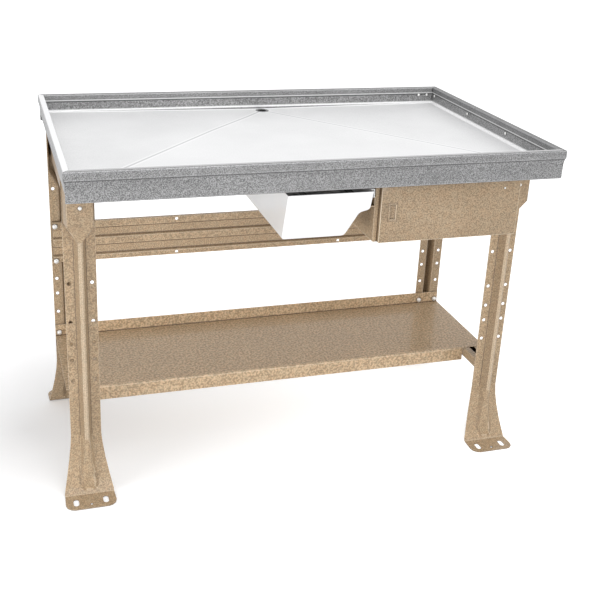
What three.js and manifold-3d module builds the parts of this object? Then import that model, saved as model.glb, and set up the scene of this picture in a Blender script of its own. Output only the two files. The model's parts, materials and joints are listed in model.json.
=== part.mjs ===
// Drain-top steel work table.
// Millimetres, +Z up, +X to the right and +Y to the back.
// The origin is on the floor under the middle of the top.

import * as THREE from 'three';
import { mergeVertices } from 'three/addons/utils/BufferGeometryUtils.js';
import Module from 'manifold-3d';

const wasm = await Module();
wasm.setup();

// Overall sizes
const topLength = 1219;
const topDepth = 762;
const topHeight = 900;

// Fits and sheet gauges
const fitGap = 0.3;
const mitreGap = 0.22;
const overrun = 5;
const tankSheet = 1.2;
const legSheet = 2;
const railSheet = 2;
const trimSheet = 1.2;
const panWall = 1.6;

// Tank: rim section, apron and folded floor
const rimBand = 20;
const rimWidth = 16.2;
const rimInnerLip = 18;
const rimRadius = 3;
const bandSetback = 2;
const bandSlope = 3;
const coveHeight = 13;
const apronInset = 3.7;
const apronDrop = 73;
const skirtDrop = 50;
const apronHem = 14;
const tankWallTopGap = 3.5;
const floorDepth = 47;
const floorFall = 6;
const tankCornerRadius = 1.4;
const drainFromLeft = 640;
const drainFromBack = 42;
const drainRadius = 14;
const spoutWall = 1.5;
const spoutFlange = 9;
const spoutFlangeThickness = 1.5;
const spoutDrop = 21;

// Legs: a hat section with a wide head and a splayed foot
const legFromEnd = 45;
const legFromFront = 170;
const legHalfWidth = 38;
const legCrownHalf = 5.75;
const legWallRun = 7.5;
const legDepth = 28;
const headCrownHalf = 31;
const headRootHalf = 35.5;
const headDepth = 46;
const headDrop = 171;
const funnelHeight = 44;
const legFoldRadius = 3;
const footTop = 155;
const footForward = 36;
const footHalfWidth = 62;
const footCrownHalf = 18;
const footBendRadius = 6;
const toeReach = 101;
const toeHalfWidth = 63.5;
const toeRadius = 24;
const funnelShares = [0.25, 0.5, 0.75];
const footShares = [0.2, 0.45, 0.7, 0.87, 0.95, 1];
const footCrownShares = [0.16, 0.35, 0.6, 0.72, 0.5, 0.2];
const toeAngleShares = [0.34, 0.67, 0.95];
const footForwardPower = 1.7;
const footWidthPower = 1.4;
const footDepthPower = 0.8;

// Holes in the legs
const legHoleOffset = 27;
const legHoleRadius = 4.7;
const shelfBoltRise = 11;
const endRailBoltDrop = 18;
const spareHoleShares = [0.286, 0.54, 0.741];
const spareHoleDrop = 8;
const headBoltDrop = 124;
const headHoleSpacing = 42;
const headHoleRadius = 3.5;
const headSmallHoleRadius = 2.2;
const anchorHoleOffset = 37;
const anchorHoleReach = 72;
const anchorHoleRadius = 7;
const anchorHoleStretch = 6;
const toeHoleReach = 84;
const toeHoleRadius = 3;

// Bolts: through the flanges, and smaller ones through the heads of the legs
const boltRadius = 4;
const boltHeadRadius = 7.2;
const headBoltRadius = 3;
const headBoltHeadRadius = 5.2;
const boltHeadHeight = 5;
const nutHeight = 6.5;
const boltTail = 3;

// Top end rails inside the leg heads
const topRailWidth = 53;
const topRailDrop = 140;
const topRailRadius = 4;

// Cross bearers under the tank floor
const bearerWidth = 40;
const bearerDrop = 72;
const frontBearerFromFront = 66;
const rearBearerFromFront = 440;

// Lower end rails
const endRailWidth = 50;
const endRailHeight = 28;
const endRailLip = 17;
const endRailTabWidth = 72;
const endRailBoltRelief = 9;
const endRailReliefLength = 18;

// Lower shelf
const shelfHeight = 235;
const shelfFrontFromFront = 266;
const shelfEndInset = 7;
const shelfFlangeDrop = 40;
const shelfFlangeInset = 74;
const shelfUpstand = 34;
const shelfRadius = 3;
const shelfSheet = 1.5;

// Rear stringer
const stringerDrop = 318;
const stringerHeight = 117;
const stringerStandOff = 8;
const stringerInset = 12;
const stringerRadius = 2;
const grooveShares = [[0.17, 0.43], [0.61, 0.87]];
const grooveSlope = 3;
const stringerTopBolt = 10;
const stringerLowBolt = 5;
const stringerHoleRadius = 4.7;
const stringerHoleEdge = 8;
const stringerHoleShares = [0.293, 0.7];

// Drain pan
const panLeft = 503.6;
const panFront = 10;
const panBackGap = 22;
const panDrop = 83;
const panDepth = 120;
const panFrontLean = 38;
const panFloorWidth = 158;
const panStepOut = 186;
const panStepHeight = 64;
const panFullWidth = 211.4;
const panStepRise = 71;
const panCornerRadius = 8;
const panFlange = 14;
const panRightFlange = 11;
const panRightLip = 22;
const panFlangeSetback = 52;

// Pan runners
const runnerLedge = 13;
const rightRunnerHeight = 26;
const rightRunnerFromFront = 40;
const leftRunnerFromFront = 70;
const runnerBackGap = 50;
const runnerSideGap = 1;

// Drawer case
const caseLeft = 734;
const caseWidth = 383;
const caseDrop = 223;
const caseDepth = 437;
const caseFrameSide = 15;
const caseFrameBottom = 8;
const caseFrameTop = 12;

// Drawer front, tray and slides
const frontFromFront = 30;
const frontSetIn = 11.5;
const frontOverlap = 2;
const frontTopGap = 4;
const frontReturn = 12;
const frontLip = 36;
const mouthGap = 1.5;
const trayLift = 5;
const trayHeight = 105;
const trayDepth = 420;
const trayHem = 8;
const slideLedge = 13;
const slideRise = 52;
const slideHeight = 16;
const slidePlay = 1.2;
const slideArm = 11;
const slideFlangeDrop = 14;
const sheetCornerRadius = 3;

// Colours of the materials
const tankMaterial = steel(0x8f8f8e, 0.55, 0.75);
const tankFloorMaterial = steel(0xe6e6e4, 0.45, 0.6);
const paintMaterial = steel(0xb49a7c, 0.55, 0.1);
const whiteMaterial = steel(0xf1f1ef, 0.5, 0.05);
const zincMaterial = steel(0xc3c1b9, 0.4, 0.8);

const group = new THREE.Group();

// Helpers for materials and meshes

function steel(color, roughness, metalness) {
  return new THREE.MeshStandardMaterial({ color, roughness, metalness });
}

function add(name, geometry, material) {
  const mesh = new THREE.Mesh(geometry, material);
  mesh.name = name;
  group.add(mesh);
  return mesh;
}

// Places measured from the left end and from the front edge of the top
const fromLeft = (distance) => distance - topLength / 2;
const fromFront = (distance) => distance - topDepth / 2;

// A value that lies a share of the way from one to another
const between = (from, to, share) => from + (to - from) * share;

// Turns a triangle mesh so that its faces point out
function outward(geometry) {
  const index = geometry.index.array;
  const points = geometry.attributes.position.array;
  const corner = (k) => new THREE.Vector3().fromArray(points, index[k] * 3);
  let volume = 0;
  for (let k = 0; k < index.length; k += 3) {
    volume += corner(k).dot(corner(k + 1).cross(corner(k + 2)));
  }
  if (volume < 0) {
    for (let k = 0; k < index.length; k += 3) {
      [index[k + 1], index[k + 2]] = [index[k + 2], index[k + 1]];
    }
  }
  return geometry;
}

function welded(geometry) {
  const plain = geometry.clone();
  plain.deleteAttribute('normal');
  plain.deleteAttribute('uv');
  return outward(mergeVertices(plain));
}

// Solids for the boolean cuts and joins

function solid(geometry) {
  const merged = welded(geometry);
  const vertProperties = new Float32Array(merged.attributes.position.array);
  const triVerts = new Uint32Array(merged.index.array);
  return new wasm.Manifold(new wasm.Mesh({ numProp: 3, vertProperties, triVerts }));
}

function geometryOf(body) {
  const mesh = body.getMesh();
  const geometry = new THREE.BufferGeometry();
  geometry.setAttribute('position', new THREE.BufferAttribute(mesh.vertProperties, 3));
  geometry.setIndex(new THREE.BufferAttribute(mesh.triVerts, 1));
  geometry.computeVertexNormals();
  return geometry;
}

// Outlines

const point = (x, y) => new THREE.Vector2(x, y);

// A path whose inner corners are rounded by arcs
function rounded(path, radius, steps = 3) {
  const result = [path[0]];
  for (let k = 1; k < path.length - 1; k++) {
    const before = path[k - 1].clone().sub(path[k]);
    const after = path[k + 1].clone().sub(path[k]);
    const reach = Math.min(radius, before.length() / 3, after.length() / 3);
    const start = path[k].clone().addScaledVector(before.normalize(), reach);
    const end = path[k].clone().addScaledVector(after.normalize(), reach);
    const bend = new THREE.QuadraticBezierCurve(start, path[k], end);
    result.push(...bend.getPoints(steps));
  }
  result.push(path[path.length - 1]);
  return result;
}

// The closed outline of a bent sheet: the path and its parallel on the left
function strip(path, thickness) {
  const inner = path.map((corner, k) => {
    const into = k > 0 ? corner.clone().sub(path[k - 1]).normalize() : null;
    const out = k < path.length - 1 ? path[k + 1].clone().sub(corner).normalize() : null;
    const first = into ?? out;
    const second = out ?? into;
    const side = point(-first.y - second.y, first.x + second.x);
    const reach = thickness / (1 + first.dot(second));
    return corner.clone().addScaledVector(side, reach);
  });
  return [...path, ...inner.reverse()];
}

// A closed outline with all its corners rounded
function roundedOutline(corners, radius, steps = 3) {
  const middle = corners[0].clone().add(corners[corners.length - 1]).multiplyScalar(1 / 2);
  const loop = rounded([middle, ...corners, middle.clone()], radius, steps);
  return loop.slice(0, -1);
}

function rectangle(x0, y0, x1, y1) {
  return [point(x0, y0), point(x1, y0), point(x1, y1), point(x0, y1)];
}

// A prism between two ends, whose points are placed one by one
function sweep(outline, place) {
  const options = { depth: 1, steps: 1, bevelEnabled: false };
  const unit = new THREE.ExtrudeGeometry(new THREE.Shape(outline), options);
  const points = unit.attributes.position;
  for (let k = 0; k < points.count; k++) {
    const placed = place(points.getX(k), points.getY(k), points.getZ(k));
    points.setXYZ(k, ...placed);
  }
  return welded(unit);
}

// Prisms along X, Y and Z between two places
const alongX = (outline, from, to) => sweep(outline, (u, w, end) => [from + end * (to - from), u, w]);
const alongY = (outline, from, to) => sweep(outline, (u, w, end) => [u, from + end * (to - from), w]);
const alongZ = (outline, from, to) => sweep(outline, (u, w, end) => [u, w, from + end * (to - from)]);

function circle(x, y, radius, sides) {
  const turn = (Math.PI * 2) / sides;
  return Array.from({ length: sides }, (_, k) => {
    const angle = (k + 1 / 2) * turn;
    return point(x + radius * Math.cos(angle), y + radius * Math.sin(angle));
  });
}

// A circle drawn out along Y by the stretch both ways
function slot(x, y, radius, stretch) {
  return circle(x, y, radius, 12).map((corner) => {
    return point(corner.x, corner.y + Math.sign(corner.y - y) * stretch);
  });
}

function cut(body, cutters) {
  return cutters.reduce((left, cutter) => left.subtract(solid(cutter)), body);
}

// A pressed sheet: rows of points on its outer face and their parallel on the inner face
function pressedSheet(rows, thickness) {
  const columns = rows[0].length;
  const at = (i, j) => rows[i][j];
  const normalSums = rows.map((row) => row.map(() => []));
  const faces = [];
  for (let i = 0; i < rows.length - 1; i++) {
    for (let j = 0; j < columns - 1; j++) {
      faces.push([[i, j], [i + 1, j], [i + 1, j + 1]]);
      faces.push([[i, j], [i + 1, j + 1], [i, j + 1]]);
    }
  }
  for (const face of faces) {
    const [a, b, c] = face.map(([i, j]) => at(i, j));
    const normal = b.clone().sub(a).cross(c.clone().sub(a)).normalize();
    face.forEach(([i, j]) => normalSums[i][j].push(normal));
  }
  const inner = rows.map((row, i) => row.map((corner, j) => {
    return corner.clone().sub(parallelStep(normalSums[i][j], thickness));
  }));
  const vertices = [...rows.flat(), ...inner.flat()].flatMap((p) => [p.x, p.y, p.z]);
  const outerId = (i, j) => i * columns + j;
  const innerId = (i, j) => rows.length * columns + i * columns + j;
  const index = [];
  for (const face of faces) {
    const [a, b, c] = face;
    index.push(outerId(...a), outerId(...b), outerId(...c));
    index.push(innerId(...a), innerId(...c), innerId(...b));
  }
  const edge = (a, b) => {
    index.push(outerId(...b), outerId(...a), innerId(...a));
    index.push(outerId(...b), innerId(...a), innerId(...b));
  };
  const lastRow = rows.length - 1;
  const lastColumn = columns - 1;
  for (let i = 0; i < lastRow; i++) {
    edge([i, 0], [i + 1, 0]);
    edge([i + 1, lastColumn], [i, lastColumn]);
  }
  for (let j = 0; j < lastColumn; j++) {
    edge([0, j + 1], [0, j]);
    edge([lastRow, j], [lastRow, j + 1]);
  }
  const geometry = new THREE.BufferGeometry();
  geometry.setAttribute('position', new THREE.Float32BufferAttribute(vertices, 3));
  geometry.setIndex(index);
  return outward(geometry);
}

// The step that lies one thickness behind every face round a point, by least squares
function parallelStep(normals, thickness) {
  const slack = 0.001;
  const m = new THREE.Matrix3().set(slack, 0, 0, 0, slack, 0, 0, 0, slack);
  const e = m.elements;
  const sum = new THREE.Vector3();
  for (const n of normals) {
    const c = n.toArray();
    for (let i = 0; i < 3; i++) {
      for (let j = 0; j < 3; j++) {
        e[i * 3 + j] += c[i] * c[j];
      }
    }
    sum.addScaledVector(n, thickness);
  }
  return sum.applyMatrix3(m.invert());
}

// Tank

const floorEdge = topHeight - floorDepth;
const floorLow = floorEdge - floorFall;
const tankInset = rimWidth - tankSheet - fitGap - tankSheet;
const tankHalfLength = topLength / 2 - tankInset;
const tankHalfDepth = topDepth / 2 - tankInset;
const tankWallTop = topHeight - tankSheet - tankWallTopGap;
const drainX = fromLeft(drainFromLeft);
const drainY = topDepth / 2 - drainFromBack;

// Height of the floor's upper face: it falls from the two ends and the front to the drain
function floorAt(x, y) {
  const run = x < drainX ? drainX + tankHalfLength : tankHalfLength - drainX;
  const endShare = Math.abs(x - drainX) / run;
  const frontShare = (drainY - y) / (drainY + tankHalfDepth);
  return floorLow + floorFall * Math.max(endShare, frontShare, 0);
}

function tankFloor() {
  const l = tankHalfLength;
  const d = tankHalfDepth;
  const places = [[-l, -d, floorEdge], [l, -d, floorEdge], [l, d, floorEdge]];
  places.push([drainX, d, floorLow], [-l, d, floorEdge], [drainX, drainY, floorLow]);
  const count = places.length;
  const faces = [[0, 1, 5], [1, 2, 5], [2, 3, 5], [3, 4, 5], [4, 0, 5]];
  const index = faces.flat();
  index.push(...faces.flatMap(([a, b, c]) => [a + count, c + count, b + count]));
  for (let k = 0; k < count - 1; k++) {
    const next = (k + 1) % (count - 1);
    index.push(k, k + count, next);
    index.push(next, k + count, next + count);
  }
  const under = places.map(([x, y, z]) => [x, y, z - tankSheet]);
  const geometry = new THREE.BufferGeometry();
  geometry.setAttribute('position', new THREE.Float32BufferAttribute([...places, ...under].flat(), 3));
  geometry.setIndex(index);
  return outward(geometry);
}

function tankPan() {
  const l = tankHalfLength;
  const d = tankHalfDepth;
  const outer = roundedOutline(rectangle(-l, -d, l, d), tankCornerRadius);
  const il = l - tankSheet;
  const id = d - tankSheet;
  const inner = roundedOutline(rectangle(-il, -id, il, id), tankCornerRadius - tankSheet);
  const wallBottom = floorLow - tankSheet;
  const walls = solid(alongZ(outer, wallBottom, tankWallTop));
  const hollow = solid(alongZ(inner, wallBottom - overrun, tankWallTop + overrun));
  const block = solid(alongZ(outer, wallBottom, floorEdge + overrun));
  const sheet = solid(tankFloor()).intersect(block);
  const hole = circle(drainX, drainY, drainRadius, 20);
  const drain = alongZ(hole, wallBottom - overrun, floorEdge + overrun);
  return geometryOf(cut(walls.subtract(hollow).add(sheet), [drain]));
}

// One rim section: hem, apron, cove, lip band, top and inner lip, mitred at both ends
function rimSection(drop, hem, length, depth) {
  const bottom = topHeight - drop;
  const bandBottom = topHeight - rimBand;
  const slopeBottom = bandBottom - bandSlope;
  const path = rounded([
    ...hem.map((reach) => point(apronInset + reach, bottom)),
    point(apronInset, bottom),
    point(apronInset, slopeBottom - coveHeight),
    point(bandSetback, slopeBottom),
    point(0, bandBottom),
    point(0, topHeight),
    point(rimWidth, topHeight),
    point(rimWidth, topHeight - rimInnerLip),
  ], rimRadius);
  const outline = strip(path, -tankSheet);
  return sweep(outline, (inset, z, end) => {
    const reach = length / 2 - inset - mitreGap;
    return [end * 2 * reach - reach, inset - depth / 2, z];
  });
}

function addRims() {
  const apron = rimSection(apronDrop, [apronHem], topLength, topDepth);
  add('rim_front', apron, tankMaterial);
  const back = add('rim_back', apron, tankMaterial);
  back.rotation.z = Math.PI;
  const skirt = rimSection(skirtDrop, [], topDepth, topLength);
  const left = add('rim_left', skirt, tankMaterial);
  left.rotation.z = -Math.PI / 2;
  const right = add('rim_right', skirt, tankMaterial);
  right.rotation.z = Math.PI / 2;
}

// The spout hangs from the floor sheet by its flange and stays above the sliding pan
function drainSpout() {
  const slopeShare = (drainRadius + spoutFlange) / (drainY + tankHalfDepth);
  const flangeTop = floorLow - tankSheet - fitGap - floorFall * slopeShare;
  const flangeBottom = flangeTop - spoutFlangeThickness;
  const profile = [
    point(drainRadius, flangeTop - spoutDrop),
    point(drainRadius + spoutWall, flangeTop - spoutDrop),
    point(drainRadius + spoutWall, flangeBottom),
    point(drainRadius + spoutFlange, flangeBottom),
    point(drainRadius + spoutFlange, flangeTop),
    point(drainRadius, flangeTop),
    point(drainRadius, flangeTop - spoutDrop),
  ];
  const spout = new THREE.LatheGeometry(profile, 20);
  spout.rotateX(Math.PI / 2);
  spout.translate(drainX, drainY, 0);
  return welded(spout);
}

// Heights on the legs

const legTop = floorLow - tankSheet - fitGap;
const headBottom = topHeight - headDrop;
const funnelBottom = headBottom - funnelHeight;
const headBoltHeight = topHeight - headBoltDrop;
const headSmallHoleHeight = headBoltHeight - headHoleSpacing;
const topRailBottom = topHeight - topRailDrop;
const bearerBottom = topHeight - bearerDrop;
const stringerTop = topHeight - stringerDrop;
const stringerBottom = stringerTop - stringerHeight;
const stringerBoltHeights = [stringerBottom + stringerLowBolt, stringerTop - stringerTopBolt];
const shelfBoltHeight = shelfHeight + shelfBoltRise;
const endRailBoltHeight = shelfHeight - endRailBoltDrop;
const spareSpan = stringerBoltHeights[0] - shelfBoltHeight;
const spareHoleHeights = spareHoleShares.map((share) => shelfBoltHeight + spareSpan * share);

// Legs

// Half of one section across the leg, from the flange's edge to the middle of the crown
function legSection(z, forward, half, root, crown, depth) {
  const wall = Math.hypot(root - crown, depth);
  const flangeFold = Math.min(legFoldRadius, (half - root) / 2);
  const wallFold = Math.min(legFoldRadius, wall / 3);
  const crownFold = Math.min(legFoldRadius, crown / 2);
  const alongWall = wallFold / wall;
  const runOut = (root - crown) * alongWall;
  const riseOut = depth * alongWall;
  const side = [
    [half, 0],
    [root + flangeFold, 0],
    [root - runOut, riseOut],
    [crown + runOut, depth - riseOut],
    [crown - crownFold, depth],
  ];
  const left = side.map(([x, y]) => new THREE.Vector3(-x, -forward - y, z));
  const right = side.map(([x, y]) => new THREE.Vector3(x, -forward - y, z));
  return [...left, ...right.reverse()];
}

function legRows() {
  const root = legCrownHalf + legWallRun;
  const head = [0, legHalfWidth, headRootHalf, headCrownHalf, headDepth];
  const shaft = [0, legHalfWidth, root, legCrownHalf, legDepth];
  const rows = [legSection(legTop, ...head), legSection(headBottom, ...head)];
  for (const share of funnelShares) {
    const blend = head.map((value, k) => between(value, shaft[k], share));
    rows.push(legSection(between(headBottom, funnelBottom, share), ...blend));
  }
  rows.push(legSection(funnelBottom, ...shaft), legSection(footTop, ...shaft));
  const bendTop = legSheet + footBendRadius;
  footShares.forEach((share, k) => {
    const forward = footForward * share ** footForwardPower;
    const half = between(legHalfWidth, footHalfWidth, share ** footWidthPower);
    const crown = between(legCrownHalf, footCrownHalf, footCrownShares[k]);
    const depth = legDepth * (1 - share) ** footDepthPower;
    const height = between(footTop, bendTop, share);
    rows.push(legSection(height, forward, half, crown + legWallRun, crown, depth));
  });
  const flatRoot = legCrownHalf + legWallRun;
  const flat = (z, forward, half) => legSection(z, forward, half, flatRoot, legCrownHalf, 0);
  const diagonal = footBendRadius * (1 - Math.SQRT1_2);
  rows.push(flat(legSheet + diagonal, footForward + diagonal, footHalfWidth));
  rows.push(flat(legSheet, footForward + footBendRadius, footHalfWidth));
  rows.push(flat(legSheet, toeReach - toeRadius, toeHalfWidth));
  for (const share of toeAngleShares) {
    const angle = (share * Math.PI) / 2;
    const half = toeHalfWidth - toeRadius * (1 - Math.cos(angle));
    rows.push(flat(legSheet, toeReach - toeRadius * (1 - Math.sin(angle)), half));
  }
  return rows;
}

// The hole rows of a front leg, and the further pairs of a rear leg
const frontHoleHeights = [...spareHoleHeights, ...stringerBoltHeights, funnelBottom - spareHoleDrop];
const rearHoleHeights = [...frontHoleHeights, shelfBoltHeight, endRailBoltHeight];

function legHoles(heights) {
  const cutters = [];
  const throughFace = (x, z, radius, sides) => {
    cutters.push(alongY(circle(x, z, radius, sides), -headDepth - overrun, overrun));
  };
  for (const height of heights) {
    throughFace(-legHoleOffset, height, legHoleRadius, 8);
    throughFace(legHoleOffset, height, legHoleRadius, 8);
  }
  throughFace(0, headBoltHeight, headHoleRadius, 8);
  throughFace(0, headSmallHoleHeight, headSmallHoleRadius, 6);
  const throughFoot = (outline) => cutters.push(alongZ(outline, -overrun, legSheet + overrun));
  throughFoot(slot(-anchorHoleOffset, -anchorHoleReach, anchorHoleRadius, anchorHoleStretch));
  throughFoot(slot(anchorHoleOffset, -anchorHoleReach, anchorHoleRadius, anchorHoleStretch));
  throughFoot(circle(0, -toeHoleReach, toeHoleRadius, 6));
  return cutters;
}

const legX = topLength / 2 - legFromEnd;
const legY = topDepth / 2 - legFromFront;
const legInnerFace = legY - legSheet;

function addLegs() {
  const pressing = solid(pressedSheet(legRows(), legSheet));
  const frontLeg = geometryOf(cut(pressing, legHoles(frontHoleHeights)));
  const rearLeg = geometryOf(cut(pressing, legHoles(rearHoleHeights)));
  for (const [side, x] of [['left', -legX], ['right', legX]]) {
    const front = add(`leg_front_${side}`, frontLeg, paintMaterial);
    front.position.set(x, -legY, 0);
    const rear = add(`leg_rear_${side}`, rearLeg, paintMaterial);
    rear.position.set(x, legY, 0);
    rear.rotation.z = Math.PI;
  }
}

// Rails and bearers

const topRailHalf = legY + headDepth - legSheet - fitGap;
const topRailTop = floorAt(legX - topRailWidth / 2, drainY) - tankSheet - fitGap;

// The end tab of a rail, which stands against the inside of the legs
function tab(halfWidth, bottom, top, inner, outer) {
  return solid(alongY(rectangle(-halfWidth, bottom, halfWidth, top), inner, outer));
}

// An inverted channel from the front leg's head to the rear one's, with a tab at each end
function topEndRail() {
  const half = topRailWidth / 2;
  const path = rounded([
    point(half, topRailBottom),
    point(half, topRailTop),
    point(-half, topRailTop),
    point(-half, topRailBottom),
  ], topRailRadius);
  const channel = solid(alongY(strip(path, railSheet), -topRailHalf, topRailHalf));
  const inner = topRailHalf - railSheet;
  const tabTop = topRailTop - railSheet / 2;
  const front = tab(half - railSheet / 2, topRailBottom, tabTop, -topRailHalf, -inner);
  const back = tab(half - railSheet / 2, topRailBottom, tabTop, inner, topRailHalf);
  const bore = circle(0, headBoltHeight, headHoleRadius, 8);
  const hole = alongY(bore, -topRailHalf - overrun, topRailHalf + overrun);
  return geometryOf(cut(channel.add(front).add(back), [hole]));
}

// A shallow inverted channel across the bench, seated at its lowest point under the floor
function bearer(frontEdge) {
  const y0 = fromFront(frontEdge);
  const y1 = y0 + bearerWidth;
  const top = Math.min(floorAt(drainX, y0), floorAt(drainX, y1)) - tankSheet - fitGap;
  const half = legX - topRailWidth / 2 - fitGap;
  const path = rounded([
    point(y0, bearerBottom),
    point(y0, top),
    point(y1, top),
    point(y1, bearerBottom),
  ], sheetCornerRadius);
  return alongX(strip(path, -railSheet), -half, half);
}

const endRailTop = shelfHeight - shelfSheet - fitGap;
const endRailBottom = endRailTop - endRailHeight;
const endRailHalf = legInnerFace - fitGap;

// A channel whose two lips carry the shelf, with a welded front tab and a bolted rear tab
function lowerEndRail() {
  const half = endRailWidth / 2;
  const path = rounded([
    point(-half + endRailLip, endRailTop),
    point(-half, endRailTop),
    point(-half, endRailBottom),
    point(half, endRailBottom),
    point(half, endRailTop),
    point(half - endRailLip, endRailTop),
  ], sheetCornerRadius);
  const channel = solid(alongY(strip(path, railSheet), -endRailHalf, endRailHalf));
  const inner = endRailHalf - railSheet;
  const front = tab(endRailTabWidth / 2, endRailBottom, endRailTop, -endRailHalf, -inner);
  const back = tab(endRailTabWidth / 2, endRailBottom, endRailTop, inner, endRailHalf);
  const sides = [-legHoleOffset, legHoleOffset];
  const reliefs = sides.map((x) => {
    const relief = circle(x, endRailBoltHeight, endRailBoltRelief, 12);
    return alongY(relief, inner - endRailReliefLength, inner);
  });
  const holes = sides.map((x) => {
    const hole = circle(x, endRailBoltHeight, legHoleRadius, 8);
    return alongY(hole, inner - overrun, endRailHalf + overrun);
  });
  return geometryOf(cut(cut(channel, reliefs).add(front).add(back), holes));
}

function addRails() {
  for (const [side, x] of [['left', -legX], ['right', legX]]) {
    const top = add(`top_end_rail_${side}`, topEndRail(), paintMaterial);
    top.position.x = x;
    const lower = add(`lower_end_rail_${side}`, lowerEndRail(), paintMaterial);
    lower.position.x = x;
  }
  add('front_bearer', bearer(frontBearerFromFront), paintMaterial);
  add('rear_bearer', bearer(rearBearerFromFront), paintMaterial);
}

// Rear stringer: a panel that stands off the legs, with two pressed grooves that seat on them
const stringerBack = legInnerFace - fitGap;
const stringerFace = stringerBack - stringerStandOff - railSheet;

function rearStringer() {
  const grooveFace = stringerBack - railSheet;
  const corners = [point(stringerBack, stringerTop), point(stringerFace, stringerTop)];
  for (const shares of grooveShares) {
    const [top, bottom] = shares.map((share) => stringerTop - stringerHeight * share);
    corners.push(point(stringerFace, top), point(grooveFace, top - grooveSlope));
    corners.push(point(grooveFace, bottom + grooveSlope), point(stringerFace, bottom));
  }
  corners.push(point(stringerFace, stringerBottom), point(stringerBack, stringerBottom));
  const path = rounded(corners, stringerRadius, 2);
  const half = topLength / 2 - stringerInset;
  const panel = solid(alongX(strip(path, railSheet), -half, half));
  const holeHeights = [stringerBottom + stringerHoleEdge, stringerTop - stringerHoleEdge];
  const holePlaces = stringerHoleShares.map((share) => between(-topLength / 2, topLength / 2, share));
  const places = holePlaces.flatMap((x) => holeHeights.map((height) => [x, height]));
  for (const height of stringerBoltHeights) {
    for (const x of boltPlaces) {
      places.push([x, height]);
    }
  }
  const holes = places.map(([x, height]) => {
    const hole = circle(x, height, stringerHoleRadius, 8);
    return alongY(hole, stringerFace - overrun, stringerBack + overrun);
  });
  return geometryOf(cut(panel, holes));
}

const boltPlaces = [-1, 1].flatMap((side) => [side * legX - legHoleOffset, side * legX + legHoleOffset]);

// Lower shelf: a sheet with a rear upstand and a front flange that stops short of the end rails
function lowerShelf() {
  const back = legInnerFace - fitGap;
  const front = fromFront(shelfFrontFromFront);
  const half = topLength / 2 - shelfEndInset;
  const path = rounded([
    point(back, shelfHeight + shelfUpstand),
    point(back, shelfHeight - shelfSheet),
    point(front, shelfHeight - shelfSheet),
    point(front, shelfHeight - shelfFlangeDrop),
  ], shelfRadius);
  const sheet = solid(alongX(strip(path, -shelfSheet), -half, half));
  const flangeHalf = topLength / 2 - shelfFlangeInset;
  const notchTop = endRailTop;
  const notchBottom = shelfHeight - shelfFlangeDrop - overrun;
  const notch = rectangle(front - overrun, notchBottom, front + shelfRadius + shelfSheet, notchTop);
  const notches = [alongX(notch, -half - overrun, -flangeHalf), alongX(notch, flangeHalf, half + overrun)];
  const holes = boltPlaces.map((x) => {
    const hole = circle(x, shelfBoltHeight, legHoleRadius, 8);
    return alongY(hole, back - overrun, back + overrun);
  });
  return geometryOf(cut(sheet, [...notches, ...holes]));
}

// Drain pan: a tray with a leaning front, an upright left side and a stepped right side

const panRight = panLeft + panFullWidth;
const panTop = topHeight - panDrop;
const panBottom = panTop - panDepth;
const panBack = topDepth - panBackGap;
const panLipBottom = panTop - panRightLip;

function panSolid(inset, top) {
  const x = fromLeft(panLeft);
  const lean = panFrontLean / (panTop - panBottom);
  const stepSlope = (panStepOut - panFloorWidth) / panStepHeight;
  const slant = Math.hypot(1, stepSlope);
  const outline = roundedOutline([
    point(x + inset, panBottom + inset),
    point(x + panFloorWidth - inset * (slant - stepSlope), panBottom + inset),
    point(x + panStepOut - inset * slant, panBottom + panStepHeight + inset / 2),
    point(x + panFullWidth - inset, panBottom + panStepRise + inset),
    point(x + panFullWidth - inset, top),
    point(x + inset, top),
  ], panCornerRadius);
  const front = fromFront(panFront) + inset * Math.hypot(1, lean);
  const back = fromFront(panBack) - inset;
  return solid(sweep(outline, (u, z, end) => {
    const leaning = front + (panTop - z) * lean;
    return [u, leaning + end * (back - leaning), z];
  }));
}

function drainPan() {
  const topCut = panTop + panCornerRadius;
  const outer = panSolid(0, topCut);
  const inner = panSolid(panWall, topCut + overrun);
  const left = fromLeft(panLeft);
  const right = fromLeft(panRight);
  const start = fromFront(panFront + panFlangeSetback);
  const end = fromFront(panBack);
  const wide = [left - panFlange - overrun, right + panRightFlange + overrun];
  const lid = rectangle(wide[0], panTop, wide[1], topCut + overrun);
  const over = alongY(lid, fromFront(0) - overrun, end + overrun);
  const tray = cut(outer.subtract(inner), [over]);
  const ledgeOutline = rectangle(left - panFlange, panTop - panWall, left + panWall / 2, panTop);
  const ledge = alongY(ledgeOutline, start, end);
  const lip = rounded([
    point(right - panWall / 2, panTop),
    point(right + panRightFlange, panTop),
    point(right + panRightFlange, panLipBottom),
  ], sheetCornerRadius);
  const rightStart = fromFront(panFront + panFrontLean / 2);
  const rightFlange = alongY(strip(lip, -panWall), rightStart, end);
  return geometryOf(tray.add(solid(ledge)).add(solid(rightFlange)));
}

// Pan runners

// The right runner is a channel on the drawer case, under the lip of the pan
function rightRunner() {
  const web = fromLeft(caseLeft) - fitGap;
  const top = panLipBottom - fitGap;
  const tip = fromLeft(panRight) + runnerSideGap;
  const path = rounded([
    point(tip, top - rightRunnerHeight),
    point(web, top - rightRunnerHeight),
    point(web, top),
    point(tip, top),
  ], sheetCornerRadius);
  return alongY(strip(path, railSheet), fromFront(rightRunnerFromFront), fromFront(panBack - runnerBackGap));
}

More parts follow.
